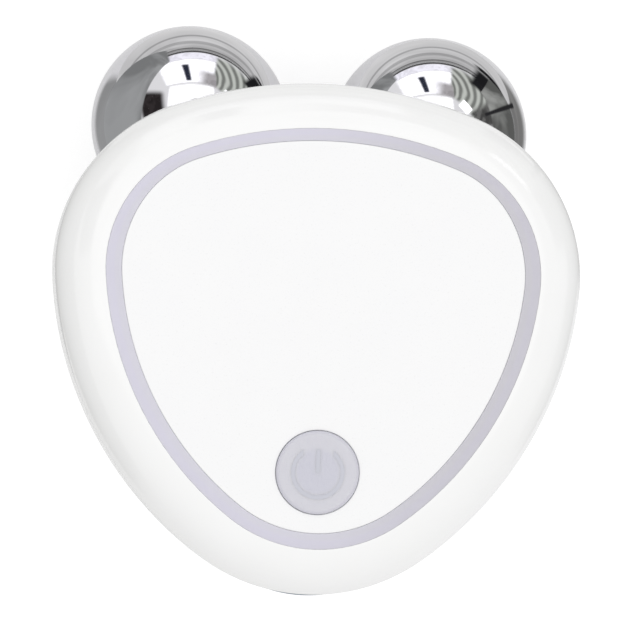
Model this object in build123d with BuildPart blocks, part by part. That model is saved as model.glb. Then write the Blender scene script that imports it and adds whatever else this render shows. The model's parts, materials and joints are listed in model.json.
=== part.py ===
from build123d import *
from math import atan2, cos, degrees, hypot, radians, sin, sqrt, tan
import os

# Facial toning device lying on its back: an egg-shaped handset, wide at the head
# and pointed at the tip, with two roller balls sunk in cups behind its head.
# X runs across the face, +Y points to the head with the balls, +Z out of the face.
# The origin is the bottom centre of the whole device. All sizes are in millimetres.

# ---- Driving dimensions: handset outline ----
BODY_WIDTH = 64.5
BODY_LENGTH = 62.4
HEAD_RADIUS = 53.5         # long flat arc across the head
CORNER_RADIUS = 21.2       # the two wide corners
SIDE_RADIUS = 46.0         # the two long sides
TIP_RADIUS = 23.2          # round point at the tip

# ---- Housing ----
WALL = 1.8
SEAM_DEPTH = 6.2           # seam between the shells, below the face
SEAM_GAP = 0.3             # groove that shows between the shells
FRONT_ROUND = 5.6
REAR_ROUND = 20.0
RIM_WIDTH = 5.8            # body edge to light ring
SHOULDER_ANGLE = 45.0      # slope of the sloped deck behind the head
SHOULDER_ROUND = 3.5
SHOULDER_MARGIN = 0.35     # upright wall left between the shoulder round and the seam
LIP_HEIGHT = 1.25
LIP_WALL = 0.8
LIP_FIT = 0.08
SEAL_INSET = 0.5           # seal set back from the body edge
SEAL_MARGIN = 0.1          # seal short of the inside of the wall
PLATE_THICKNESS = 1.2
PLATE_FIT = 0.1
PLATE_EDGE = 0.25

# ---- Light ring ----
RING_WIDTH = 1.98
RING_DEPTH = 3.0
RING_FIT = 0.06
LEDGE_WIDTH = 2.5
LEDGE_THICKNESS = 1.2
SHELF_WIDTH = 1.2
SHELF_THICKNESS = 1.2
WELL_WALL = 1.4

# ---- Power button ----
BUTTON_DIAMETER = 10.1
BUTTON_FROM_TIP = 15.1
BUTTON_PROUD = 0.3
BUTTON_TRAVEL = 0.5
BUTTON_GAP = 0.15          # radial gap in the face plate
BUTTON_EDGE = 0.3
FLANGE_MARGIN = 0.85
FLANGE_THICKNESS = 0.6
FLANGE_CLEARANCE = 0.2     # under the face plate
GUIDE_FIT = 0.1
GUIDE_WALL = 0.7
GUIDE_DEPTH = 2.3
STEM_DIAMETER = 3.2
SYMBOL_RADIUS = 3.0
SYMBOL_LINE = 0.5
SYMBOL_OPENING = 75.0      # degrees left open at the top of the power sign
SYMBOL_BAR_TOP = 2.8       # top of its bar, above the button's centre
SYMBOL_BAR_LENGTH = 2.9
SYMBOL_DEPTH = 0.3
SWITCH_SIZE = 5.2
SWITCH_HEIGHT = 1.7
SWITCH_FLOOR = 0.4
PLUNGER_DIAMETER = 2.6
PLUNGER_FIT = 0.06
PRESS_CLEARANCE = 0.15     # left under the stem and the plunger at full press

# ---- Roller balls and axles ----
BALL_DIAMETER = 25.0
BALL_GAP = 5.5             # between the two balls, for the skin
FACE_ABOVE_BALLS = 9.5     # from the tops of the balls up to the face
BALL_SETBACK = 4.6         # ball centres in from the head edge
BALL_WALL = 1.2
CUP_GAP = 1.0
AXLE_DIAMETER = 4.0
AXLE_SPLAY = 15.0          # outward turn of each axle
AXLE_DIVE = 30.0           # tilt of each axle away from the face
AXLE_OUTER = 6.0           # axle end beyond the ball centre
AXLE_STICKOUT = 1.1        # axle end beyond its nut, inside the handset
AXLE_FLANGE_DIAMETER = 7.2
AXLE_FLANGE_THICKNESS = 0.8
BUSH_DIAMETER = 8.0
BUSH_LENGTH = 15.0
BUSH_RUNNING_FIT = 0.05
BUSH_PRESS_FIT = 0.02
CORE_FIT = 0.05
MOUTH_CLEARANCE = 0.3
THRUST_THICKNESS = 1.0
THRUST_CLEARANCE = 0.3
CLIP_DIAMETER = 7.0
CLIP_THICKNESS = 0.6
CLIP_CLEARANCE = 0.35
GROOVE_DEPTH = 0.4
SLEEVE_DIAMETER = 8.0
SLEEVE_FIT = 0.05
CARRIER_BOSS_DIAMETER = 12.0
CARRIER_BOSS_LENGTH = 4.7
CARRIER_BAR_HEIGHT = 5.0
CARRIER_BAR_DEPTH = 6.0
TERMINAL_DIAMETER = 8.0
TERMINAL_THICKNESS = 0.5
NUT_ACROSS_FLATS = 7.0
NUT_HEIGHT = 2.4

# ---- Screws ----
CASE_SCREW_DIAMETER = 1.9
CASE_SCREW_LENGTH = 7.5
CASE_SCREW_HEAD = 4.0
CASE_SCREW_HEAD_HEIGHT = 1.3
CASE_SCREW_HEAD_EDGE = 0.3
CASE_SCREW_INSET = 12.8    # case screws in from the body edge
LOWER_SCREW_GAP = 4.8      # between the button guide and the lower screws' lugs
PILLAR_DIAMETER = 5.0
LUG_DIAMETER = 6.4
BOARD_SCREW_DIAMETER = 1.6
BOARD_SCREW_LENGTH = 2.6
BOARD_SCREW_HEAD = 3.2
BOARD_SCREW_HEAD_HEIGHT = 1.0
BOARD_SCREW_INSET = 7.0
BOARD_SCREW_ANGLES = (90.0, -20.0, 200.0)
BOARD_BOSS_DIAMETER = 3.8
SCREW_FIT = 0.03           # radial, between shank and pilot hole
SCREW_HOLE_CLEARANCE = 0.25

# ---- Boards and parts on them ----
BOARD_THICKNESS = 1.0
BOARD_INSET = 5.0
BOARD_BELOW_SHELF = 1.1
PILLAR_CLEARANCE = 0.3
LED_COUNT = 12
LED_LENGTH = 2.0
LED_WIDTH = 1.25
LED_HEIGHT = 0.8
LED_INSET = 9.6
CHIP_SIZE = 6.0
CHIP_HEIGHT = 0.9
CHIP_FROM_TIP = 29.8
COIL_DIAMETER = 5.0
COIL_HEIGHT = 3.0
COIL_EDGE = 0.3
COIL_X = -8.0
CAPACITOR_LENGTH = 3.2
CAPACITOR_WIDTH = 1.6
CAPACITOR_HEIGHT = 1.5
CAPACITOR_X = 8.0
CAPACITOR_PITCH = 2.8
CAPACITOR_COUNT = 4

# ---- Battery ----
BATTERY_WIDTH = 20.0
BATTERY_LENGTH = 24.0
BATTERY_HEIGHT = 8.0
BATTERY_ROUND = 1.5
BATTERY_FROM_TIP = 24.6
BATTERY_BASE = 6.0
PAD_THICKNESS = 1.0
PAD_MARGIN = 1.0
RIB_THICKNESS = 1.5
RIB_PITCH = 14.0

# ---- Charging port ----
PORT_DEPTH = 11.3          # port centre below the face
PORT_PROUD = 0.3
BEZEL_WIDTH = 13.0
BEZEL_HEIGHT = 5.8
BEZEL_FIT = 0.06
PORT_CUT = 4.0             # depth of the bezel's hole, from the tip
SOCKET_WIDTH = 8.94
SOCKET_HEIGHT = 3.16
SOCKET_LENGTH = 7.4
SOCKET_METAL = 0.3
SOCKET_RECESS = 0.7        # socket mouth behind the bezel front
SOCKET_CLEARANCE = 0.2
SOCKET_BACK = 1.2
TONGUE_WIDTH = 6.7
TONGUE_THICKNESS = 0.7
TONGUE_RECESS = 0.6
PORT_BOARD_WIDTH = 12.0
PORT_BOARD_LENGTH = 8.2
PORT_BOARD_SETBACK = 1.3
POST_DIAMETER = 3.0
POST_SPACING = 8.0

# ---- Leads ----
LEAD_DIAMETER = 1.0
LEAD_BEND = 1.5
BATTERY_LEAD_SPACING = 3.0
RIBBON_WIDTH = 5.0
RIBBON_THICKNESS = 0.3

# ---- Places worked out from the sizes above ----
ball_radius = BALL_DIAMETER / 2
ball_spacing = BALL_DIAMETER + BALL_GAP
total_length = PORT_PROUD + BODY_LENGTH - BALL_SETBACK + ball_radius
tip_y = PORT_PROUD - total_length / 2
head_y = tip_y + BODY_LENGTH
ball_y = head_y - BALL_SETBACK
ball_z = ball_radius
face_z = BALL_DIAMETER + FACE_ABOVE_BALLS
seam_z = face_z - SEAM_DEPTH
ring_inner = RIM_WIDTH + RING_WIDTH
shelf_top = face_z - RING_DEPTH
shelf_bottom = shelf_top - SHELF_THICKNESS
plate_bottom = face_z - PLATE_THICKNESS
board_top = shelf_bottom - BOARD_BELOW_SHELF
board_bottom = board_top - BOARD_THICKNESS
button_y = tip_y + BUTTON_FROM_TIP
button_radius = BUTTON_DIAMETER / 2
flange_radius = button_radius + FLANGE_MARGIN
flange_top = plate_bottom - FLANGE_CLEARANCE
guide_inner = flange_radius + GUIDE_FIT
guide_outer = guide_inner + GUIDE_WALL
switch_top = board_top + SWITCH_HEIGHT
plunger_top = switch_top + BUTTON_TRAVEL + PRESS_CLEARANCE
plunger_bottom = board_top + SWITCH_FLOOR + BUTTON_TRAVEL + PRESS_CLEARANCE
port_z = face_z - PORT_DEPTH
chip_y = tip_y + CHIP_FROM_TIP
battery_y = tip_y + BATTERY_FROM_TIP
port_board_top = port_z - SOCKET_HEIGHT / 2
cup_radius = ball_radius + CUP_GAP
carrier_end = cup_radius + WALL + CARRIER_BOSS_LENGTH
axle_inner = carrier_end + TERMINAL_THICKNESS + NUT_HEIGHT + AXLE_STICKOUT

os.makedirs("parts", exist_ok=True)


# ---- Outline of the handset ----
def crossing(first, first_radius, second, second_radius):
    """Where two circles cross, to the left of the line from the first centre to the second."""
    span = hypot(second[0] - first[0], second[1] - first[1])
    along = (span**2 + first_radius**2 - second_radius**2) / (2 * span)
    aside = sqrt(first_radius**2 - along**2)
    ux = (second[0] - first[0]) / span
    uy = (second[1] - first[1]) / span
    return (first[0] + along * ux - aside * uy, first[1] + along * uy + aside * ux)


def bearing(start, end):
    """Angle of the line from one point to another, in degrees."""
    return degrees(atan2(end[1] - start[1], end[0] - start[0]))


head_centre = (0.0, head_y - HEAD_RADIUS)
corner_x = BODY_WIDTH / 2 - CORNER_RADIUS
corner_rise = sqrt((HEAD_RADIUS - CORNER_RADIUS) ** 2 - corner_x**2)
corner_centre = (corner_x, head_centre[1] + corner_rise)
tip_centre = (0.0, tip_y + TIP_RADIUS)
to_tip = SIDE_RADIUS - TIP_RADIUS
to_corner = SIDE_RADIUS - CORNER_RADIUS
side_arc_centre = crossing(tip_centre, to_tip, corner_centre, to_corner)
head_end = bearing(head_centre, corner_centre)
corner_end = bearing(side_arc_centre, corner_centre)
side_end = bearing(side_arc_centre, tip_centre)

# Right half of the outline as (centre, radius at the body edge, first angle, last angle).
OUTLINE_ARCS = (
    (head_centre, HEAD_RADIUS, 90.0, head_end),
    (corner_centre, CORNER_RADIUS, head_end, corner_end),
    (side_arc_centre, SIDE_RADIUS, corner_end, side_end),
    (tip_centre, TIP_RADIUS, side_end, -90.0),
)


def outline(inset):
    """Closed face whose edge runs parallel to the body edge, inset from it."""
    with BuildSketch() as shape:
        with BuildLine():
            for centre, radius, first, last in OUTLINE_ARCS:
                CenterArc(centre, radius - inset, first, last - first)
            mirror(about=Plane.YZ)
        make_face()
    return shape.sketch


def rim_point(angle, inset):
    """Point inset from the body edge, where the edge faces the given angle."""
    right_angle = angle if angle <= 90 else 180 - angle
    for centre, radius, first, last in OUTLINE_ARCS:
        if last <= right_angle <= first:
            x = centre[0] + (radius - inset) * cos(radians(right_angle))
            y = centre[1] + (radius - inset) * sin(radians(right_angle))
    return (x, y) if angle <= 90 else (-x, y)


def both_sides(points):
    """The points and their mirror images in the YZ plane."""
    return [point for x, y in points for point in ((x, y), (-x, y))]


def save(builder, name):
    """Label a finished piece and write it to its STEP file."""
    builder.part.label = name
    export_step(builder.part, f"parts/{name}.step")


# Case screws: two where the handset is widest, two beside the button.
screw_arc = SIDE_RADIUS - CASE_SCREW_INSET
screw_reach = guide_outer + LOWER_SCREW_GAP + LUG_DIAMETER / 2
upper_screw = rim_point(0, CASE_SCREW_INSET)
lower_screw = crossing(side_arc_centre, screw_arc, (0, button_y), screw_reach)
case_screw_sites = ((upper_screw, 0.0), (lower_screw, bearing(side_arc_centre, lower_screw)))
case_screw_points = both_sides([point for point, angle in case_screw_sites])
board_screw_points = [rim_point(a, BOARD_SCREW_INSET) for a in BOARD_SCREW_ANGLES]
ball_points = [(-ball_spacing / 2, ball_y, ball_z), (ball_spacing / 2, ball_y, ball_z)]
button_plane = Plane(origin=(0, button_y, 0))

# Sloped deck behind the head: its normal points up the head and away from the face.
deck_normal = Vector(0, cos(radians(SHOULDER_ANGLE)), -sin(radians(SHOULDER_ANGLE)))
shoulder_run = SHOULDER_ROUND * tan(radians(SHOULDER_ANGLE / 2))
deck_edge = (0, head_y, seam_z - SEAM_GAP / 2 - SHOULDER_MARGIN - shoulder_run)
deck_plane = Plane(origin=deck_edge, x_dir=(1, 0, 0), z_dir=deck_normal)
deck_reach = 2 * (BODY_WIDTH + BODY_LENGTH)


def axle_plane(side, distance):
    """Plane across an axle, at a signed distance outward from the ball centre."""
    outward = Vector(
        side * sin(radians(AXLE_SPLAY)) * cos(radians(AXLE_DIVE)),
        cos(radians(AXLE_SPLAY)) * cos(radians(AXLE_DIVE)),
        -sin(radians(AXLE_DIVE)),
    )
    centre = Vector(side * ball_spacing / 2, ball_y, ball_z)
    return Plane(origin=centre + outward * distance, x_dir=(outward.Y, -outward.X, 0), z_dir=outward)


def port_plane(y):
    """Plane across the charging port at the given y, looking out of the tip."""
    return Plane(origin=(0, y, port_z), x_dir=(1, 0, 0), z_dir=(0, -1, 0))


SIDES = (("left", -1), ("right", 1))

# ---- Front shell: domed rim, well for the light ring, lugs and board bosses ----
lug_reach = CASE_SCREW_INSET - RIM_WIDTH

with BuildPart() as front_cavity:
    with BuildSketch(Plane.XY.offset(seam_z + SEAM_GAP / 2)):
        add(outline(WALL))
    extrude(amount=face_z - WALL - seam_z - SEAM_GAP / 2)
    fillet(front_cavity.faces().sort_by(Axis.Z)[-1].edges(), FRONT_ROUND - WALL)
    with BuildSketch(Plane.XY.offset(shelf_bottom)):
        add(outline(RIM_WIDTH - WELL_WALL))
        add(outline(RIM_WIDTH + SHELF_WIDTH), mode=Mode.SUBTRACT)
    extrude(amount=SEAM_DEPTH, mode=Mode.SUBTRACT)
    with BuildSketch(Plane.XY.offset(shelf_bottom)):
        for point, angle in case_screw_sites:
            for x, y in both_sides([point]):
                turn = angle if x > 0 else 180 - angle
                with Locations(Location((x, y), turn)):
                    Circle(LUG_DIAMETER / 2)
                    Rectangle(lug_reach, LUG_DIAMETER, align=(Align.MIN, Align.CENTER))
    extrude(amount=SHELF_THICKNESS, mode=Mode.SUBTRACT)
    with BuildSketch(Plane.XY.offset(board_top)):
        with Locations(*board_screw_points):
            Circle(BOARD_BOSS_DIAMETER / 2)
    extrude(amount=shelf_bottom - board_top, mode=Mode.SUBTRACT)

with BuildPart() as front_shell:
    with BuildSketch(Plane.XY.offset(seam_z + SEAM_GAP / 2)):
        add(outline(0))
    extrude(amount=SEAM_DEPTH - SEAM_GAP / 2)
    fillet(front_shell.faces().sort_by(Axis.Z)[-1].edges(), FRONT_ROUND)
    add(front_cavity.part, mode=Mode.SUBTRACT)
    with BuildSketch(Plane.XY.offset(shelf_top)):
        add(outline(RIM_WIDTH))
    extrude(amount=RING_DEPTH, mode=Mode.SUBTRACT)
    with BuildSketch(Plane.XY.offset(shelf_bottom)):
        with Locations(*case_screw_points):
            Circle(CASE_SCREW_DIAMETER / 2 + SCREW_HOLE_CLEARANCE)
    extrude(amount=SHELF_THICKNESS, mode=Mode.SUBTRACT)
    with BuildSketch(Plane.XY.offset(board_top)):
        with Locations(*board_screw_points):
            Circle(BOARD_SCREW_DIAMETER / 2 + SCREW_FIT)
    extrude(amount=BOARD_SCREW_LENGTH - BOARD_THICKNESS + SCREW_FIT, mode=Mode.SUBTRACT)
save(front_shell, "front_shell")

# ---- Rear shell: round back, flat rest land, sloped deck with two ball cups ----
rib_top = BATTERY_BASE - PAD_THICKNESS

with BuildPart() as rear_cavity:
    with BuildSketch(Plane.XY.offset(WALL)):
        add(outline(WALL))
    extrude(amount=seam_z - SEAM_GAP / 2 - WALL)
    fillet(rear_cavity.faces().sort_by(Axis.Z)[0].edges(), REAR_ROUND - WALL)
    with BuildSketch(deck_plane.offset(-WALL)):
        Rectangle(deck_reach, deck_reach)
    extrude(amount=deck_reach, mode=Mode.SUBTRACT)
    with Locations(*ball_points):
        Sphere(cup_radius + WALL, mode=Mode.SUBTRACT)
    with BuildSketch():
        with Locations(*case_screw_points):
            Circle(PILLAR_DIAMETER / 2)
    extrude(amount=seam_z, mode=Mode.SUBTRACT)
    with BuildSketch():
        with Locations((0, battery_y)):
            with GridLocations(0, RIB_PITCH, 1, 2):
                Rectangle(BATTERY_WIDTH, RIB_THICKNESS)
    extrude(amount=rib_top, mode=Mode.SUBTRACT)
    with BuildSketch():
        with Locations((0, tip_y + WALL + PORT_BOARD_SETBACK + PORT_BOARD_LENGTH / 2)):
            with GridLocations(POST_SPACING, 0, 2, 1):
                Circle(POST_DIAMETER / 2)
    extrude(amount=port_board_top - BOARD_THICKNESS, mode=Mode.SUBTRACT)

with BuildPart() as rear_shell:
    with BuildSketch():
        add(outline(0))
    extrude(amount=seam_z - SEAM_GAP / 2)
    fillet(rear_shell.faces().sort_by(Axis.Z)[0].edges(), REAR_ROUND)
    with BuildSketch(deck_plane):
        Rectangle(deck_reach, deck_reach)
    extrude(amount=deck_reach, mode=Mode.SUBTRACT)
    deck_face = rear_shell.faces().filter_by(lambda f: f.normal_at().dot(deck_normal) > 0.999)
    fillet(deck_face.edges(), SHOULDER_ROUND)
    add(rear_cavity.part, mode=Mode.SUBTRACT)
    with Locations(*ball_points):
        Sphere(cup_radius, mode=Mode.SUBTRACT)
    with BuildSketch(Plane.XY.offset(seam_z - LIP_HEIGHT - SEAM_GAP / 2)):
        add(outline(WALL - LIP_FIT))
        add(outline(WALL + LIP_FIT + LIP_WALL), mode=Mode.SUBTRACT)
    extrude(amount=LIP_HEIGHT)
    with BuildSketch(Plane.XY.offset(seam_z - LIP_HEIGHT)):
        add(outline(WALL + LIP_FIT))
        add(outline(WALL + LIP_FIT + LIP_WALL), mode=Mode.SUBTRACT)
    extrude(amount=2 * LIP_HEIGHT)
    with BuildSketch(Plane.XY.offset(seam_z - LIP_HEIGHT)):
        with Locations(*case_screw_points):
            Circle(PILLAR_DIAMETER / 2)
    extrude(amount=shelf_bottom - seam_z + LIP_HEIGHT)
    with BuildSketch(Plane.XY.offset(shelf_bottom)):
        with Locations(*case_screw_points):
            Circle(CASE_SCREW_DIAMETER / 2 + SCREW_FIT)
    extrude(amount=-CASE_SCREW_LENGTH, mode=Mode.SUBTRACT)
    with BuildSketch(port_plane(tip_y + PORT_CUT)):
        SlotOverall(BEZEL_WIDTH + 2 * BEZEL_FIT, BEZEL_HEIGHT + 2 * BEZEL_FIT)
    extrude(amount=2 * PORT_CUT, mode=Mode.SUBTRACT)
    for name, side in SIDES:
        with BuildSketch(axle_plane(side, -carrier_end)):
            Circle(SLEEVE_DIAMETER / 2 + SLEEVE_FIT)
        extrude(amount=carrier_end, mode=Mode.SUBTRACT)
save(rear_shell, "rear_shell")

# ---- Seal in the seam, set back so that a thin groove shows ----
with BuildPart() as case_seal:
    with BuildSketch(Plane.XY.offset(seam_z - SEAM_GAP / 2)):
        add(outline(SEAL_INSET))
        add(outline(WALL - SEAL_MARGIN), mode=Mode.SUBTRACT)
    extrude(amount=SEAM_GAP)
save(case_seal, "case_seal")

# ---- Light ring: clear upright with a ledge that carries the face plate ----
with BuildPart() as light_ring:
    with BuildSketch(Plane.XY.offset(shelf_top)):
        add(outline(RIM_WIDTH + RING_FIT))
        add(outline(ring_inner), mode=Mode.SUBTRACT)
    extrude(amount=RING_DEPTH)
    with BuildSketch(Plane.XY.offset(plate_bottom - LEDGE_THICKNESS)):
        add(outline(RIM_WIDTH + RING_FIT))
        add(outline(ring_inner + LEDGE_WIDTH), mode=Mode.SUBTRACT)
    extrude(amount=LEDGE_THICKNESS)
    with BuildSketch(button_plane.offset(shelf_top)):
        Circle(guide_outer + PLATE_FIT)
    extrude(amount=plate_bottom - shelf_top, mode=Mode.SUBTRACT)
save(light_ring, "light_ring")

with BuildPart() as face_plate:
    with BuildSketch(Plane.XY.offset(plate_bottom)):
        add(outline(ring_inner + PLATE_FIT))
        with Locations((0, button_y)):
            Circle(button_radius + BUTTON_GAP, mode=Mode.SUBTRACT)
    extrude(amount=PLATE_THICKNESS)
    chamfer(face_plate.faces().sort_by(Axis.Z)[-1].edges(), PLATE_EDGE)
save(face_plate, "face_plate")

# ---- Power button, its inlaid power sign, guide and tactile switch ----
cap_top = face_z + BUTTON_PROUD


def power_sign():
    """Flat power sign: a ring open towards the head, with a bar in the opening."""
    with BuildSketch() as sign:
        Circle(SYMBOL_RADIUS + SYMBOL_LINE / 2)
        Circle(SYMBOL_RADIUS - SYMBOL_LINE / 2, mode=Mode.SUBTRACT)
        gap = 2 * SYMBOL_RADIUS * sin(radians(SYMBOL_OPENING / 2))
        Rectangle(gap, 2 * SYMBOL_RADIUS, align=(Align.CENTER, Align.MIN), mode=Mode.SUBTRACT)
        with Locations((0, SYMBOL_BAR_TOP - SYMBOL_BAR_LENGTH / 2)):
            SlotOverall(SYMBOL_BAR_LENGTH, SYMBOL_LINE, rotation=90)
    return sign.sketch


with BuildPart() as power_button:
    with BuildSketch(button_plane.offset(flange_top - FLANGE_THICKNESS)):
        Circle(button_radius)
    extrude(amount=cap_top - flange_top + FLANGE_THICKNESS)
    fillet(power_button.faces().sort_by(Axis.Z)[-1].edges(), BUTTON_EDGE)
    with BuildSketch(button_plane.offset(flange_top - FLANGE_THICKNESS)):
        Circle(flange_radius)
    extrude(amount=FLANGE_THICKNESS)
    with BuildSketch(button_plane.offset(plunger_top)):
        Circle(STEM_DIAMETER / 2)
    extrude(amount=flange_top - plunger_top)
    with BuildSketch(button_plane.offset(cap_top - SYMBOL_DEPTH)):
        add(power_sign())
    extrude(amount=SYMBOL_DEPTH, mode=Mode.SUBTRACT)
save(power_button, "power_button")

with BuildPart() as power_symbol:
    with BuildSketch(button_plane.offset(cap_top - SYMBOL_DEPTH)):
        add(power_sign())
    extrude(amount=SYMBOL_DEPTH)
save(power_symbol, "power_symbol")

with BuildPart() as button_guide:
    with BuildSketch(button_plane.offset(plate_bottom - GUIDE_DEPTH)):
        Circle(guide_outer)
        Circle(guide_inner, mode=Mode.SUBTRACT)
    extrude(amount=GUIDE_DEPTH)
save(button_guide, "button_guide")

with BuildPart() as switch_housing:
    with BuildSketch(button_plane.offset(board_top)):
        Rectangle(SWITCH_SIZE, SWITCH_SIZE)
    extrude(amount=SWITCH_HEIGHT)
    with BuildSketch(button_plane.offset(board_top + SWITCH_FLOOR)):
        Circle(PLUNGER_DIAMETER / 2 + PLUNGER_FIT)
    extrude(amount=SWITCH_HEIGHT, mode=Mode.SUBTRACT)
save(switch_housing, "switch_housing")

with BuildPart() as switch_plunger:
    with BuildSketch(button_plane.offset(plunger_bottom)):
        Circle(PLUNGER_DIAMETER / 2)
    extrude(amount=plunger_top - plunger_bottom)
save(switch_plunger, "switch_plunger")

# ---- Main board with its lights, chip, coil and capacitors ----
with BuildPart() as main_board:
    with BuildSketch(Plane.XY.offset(board_bottom)):
        add(outline(BOARD_INSET))
        with Locations(*case_screw_points):
            Circle(PILLAR_DIAMETER / 2 + PILLAR_CLEARANCE, mode=Mode.SUBTRACT)
        with Locations(*board_screw_points):
            Circle(BOARD_SCREW_DIAMETER / 2 + SCREW_HOLE_CLEARANCE, mode=Mode.SUBTRACT)
    extrude(amount=BOARD_THICKNESS)
save(main_board, "main_board")

led_track = outline(LED_INSET).wire()

with BuildPart() as ring_lights:
    with BuildSketch(Plane.XY.offset(board_top)):
        for i in range(LED_COUNT):
            spot = led_track.position_at((i + 0.5) / LED_COUNT)
            run = led_track.tangent_at((i + 0.5) / LED_COUNT)
            with Locations(Location((spot.X, spot.Y), degrees(atan2(run.Y, run.X)))):
                Rectangle(LED_LENGTH, LED_WIDTH)
    extrude(amount=LED_HEIGHT)
save(ring_lights, "ring_lights")

with BuildPart() as control_chip:
    with BuildSketch(Plane.XY.offset(board_bottom)):
        with Locations((0, chip_y)):
            Rectangle(CHIP_SIZE, CHIP_SIZE)
    extrude(amount=-CHIP_HEIGHT)
save(control_chip, "control_chip")

with BuildPart() as boost_coil:
    with BuildSketch(Plane.XY.offset(board_bottom)):
        with Locations((COIL_X, chip_y)):
            Circle(COIL_DIAMETER / 2)
    extrude(amount=-COIL_HEIGHT)
    chamfer(boost_coil.faces().sort_by(Axis.Z)[0].edges(), COIL_EDGE)
save(boost_coil, "boost_coil")

with BuildPart() as capacitors:
    with BuildSketch(Plane.XY.offset(board_bottom)):
        with Locations((CAPACITOR_X, chip_y)):
            with GridLocations(0, CAPACITOR_PITCH, 1, CAPACITOR_COUNT):
                Rectangle(CAPACITOR_LENGTH, CAPACITOR_WIDTH)
    extrude(amount=-CAPACITOR_HEIGHT)
save(capacitors, "capacitors")

# ---- Battery on its foam pad ----
with BuildPart() as battery_pad:
    with BuildSketch(Plane.XY.offset(rib_top)):
        with Locations((0, battery_y)):
            Rectangle(BATTERY_WIDTH - 2 * PAD_MARGIN, BATTERY_LENGTH - 2 * PAD_MARGIN)
    extrude(amount=PAD_THICKNESS)
save(battery_pad, "battery_pad")

with BuildPart() as battery:
    with BuildSketch(Plane.XY.offset(BATTERY_BASE)):
        with Locations((0, battery_y)):
            Rectangle(BATTERY_WIDTH, BATTERY_LENGTH)
    extrude(amount=BATTERY_HEIGHT)
    fillet(battery.edges().filter_by(Axis.Y), BATTERY_ROUND)
save(battery, "battery")

# ---- Charging port at the tip: bezel, socket with its tongue, and small board ----
bezel_front = tip_y - PORT_PROUD
socket_mouth = bezel_front + SOCKET_RECESS
port_board_front = tip_y + WALL + PORT_BOARD_SETBACK

with BuildPart() as port_bezel:
    with BuildSketch():
        add(outline(-PORT_PROUD))
        add(outline(WALL), mode=Mode.SUBTRACT)
    extrude(amount=face_z)
    with BuildSketch(port_plane(tip_y + BEZEL_WIDTH)):
        SlotOverall(BEZEL_WIDTH, BEZEL_HEIGHT)
        SlotOverall(
            SOCKET_WIDTH + 2 * SOCKET_CLEARANCE,
            SOCKET_HEIGHT + 2 * SOCKET_CLEARANCE,
            mode=Mode.SUBTRACT,
        )
    extrude(amount=2 * BEZEL_WIDTH, mode=Mode.INTERSECT)
save(port_bezel, "port_bezel")

with BuildPart() as charging_socket:
    with BuildSketch(port_plane(socket_mouth)):
        SlotOverall(SOCKET_WIDTH, SOCKET_HEIGHT)
    extrude(amount=-SOCKET_LENGTH)
    with BuildSketch(port_plane(socket_mouth)):
        SlotOverall(SOCKET_WIDTH - 2 * SOCKET_METAL, SOCKET_HEIGHT - 2 * SOCKET_METAL)
    extrude(amount=-(SOCKET_LENGTH - SOCKET_BACK), mode=Mode.SUBTRACT)
save(charging_socket, "charging_socket")

with BuildPart() as socket_tongue:
    with BuildSketch(port_plane(socket_mouth + TONGUE_RECESS)):
        Rectangle(TONGUE_WIDTH, TONGUE_THICKNESS)
    extrude(amount=-(SOCKET_LENGTH - SOCKET_BACK - TONGUE_RECESS))
save(socket_tongue, "socket_tongue")

with BuildPart() as port_board:
    with BuildSketch(Plane.XY.offset(port_board_top - BOARD_THICKNESS)):
        with Locations((0, port_board_front + PORT_BOARD_LENGTH / 2)):
            Rectangle(PORT_BOARD_WIDTH, PORT_BOARD_LENGTH)
    extrude(amount=BOARD_THICKNESS)
save(port_board, "port_board")

# ---- Screws ----
with BuildPart() as case_screws:
    with BuildSketch(Plane.XY.offset(shelf_top)):
        with Locations(*case_screw_points):
            Circle(CASE_SCREW_HEAD / 2)
    extrude(amount=CASE_SCREW_HEAD_HEIGHT)
    chamfer(case_screws.faces().filter_by(Plane.XY).group_by(Axis.Z)[-1].edges(), CASE_SCREW_HEAD_EDGE)
    with BuildSketch(Plane.XY.offset(shelf_top)):
        with Locations(*case_screw_points):
            Circle(CASE_SCREW_DIAMETER / 2)
    extrude(amount=-CASE_SCREW_LENGTH)
save(case_screws, "case_screws")

with BuildPart() as board_screws:
    with BuildSketch(Plane.XY.offset(board_bottom)):
        with Locations(*board_screw_points):
            Circle(BOARD_SCREW_HEAD / 2)
    extrude(amount=-BOARD_SCREW_HEAD_HEIGHT)
    with BuildSketch(Plane.XY.offset(board_bottom)):
        with Locations(*board_screw_points):
            Circle(BOARD_SCREW_DIAMETER / 2)
    extrude(amount=BOARD_SCREW_LENGTH)
save(board_screws, "board_screws")

# ---- Axle carrier: one bracket behind both cups, clamped by the axle nuts ----
carrier_middle = axle_plane(1, -(cup_radius + WALL + carrier_end) / 2).origin

with BuildPart() as axle_carrier:
    with BuildSketch(Plane.YZ.offset(-carrier_middle.X)):
        with Locations((carrier_middle.Y, carrier_middle.Z)):
            Rectangle(CARRIER_BAR_DEPTH, CARRIER_BAR_HEIGHT)
    extrude(amount=2 * carrier_middle.X)
    for name, side in SIDES:
        with BuildSketch(axle_plane(side, -carrier_end)):
            Circle(CARRIER_BOSS_DIAMETER / 2)
        extrude(amount=carrier_end - cup_radius)
    for name, side in SIDES:
        with BuildSketch(axle_plane(side, -2 * carrier_end)):
            Circle(CARRIER_BOSS_DIAMETER)
        extrude(amount=carrier_end, mode=Mode.SUBTRACT)
        with BuildSketch(axle_plane(side, -carrier_end)):
            Circle(SLEEVE_DIAMETER / 2 + SLEEVE_FIT)
        extrude(amount=carrier_end, mode=Mode.SUBTRACT)
    with Locations(*ball_points):
        Sphere(cup_radius + WALL + SLEEVE_FIT, mode=Mode.SUBTRACT)
save(axle_carrier, "axle_carrier")

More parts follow.
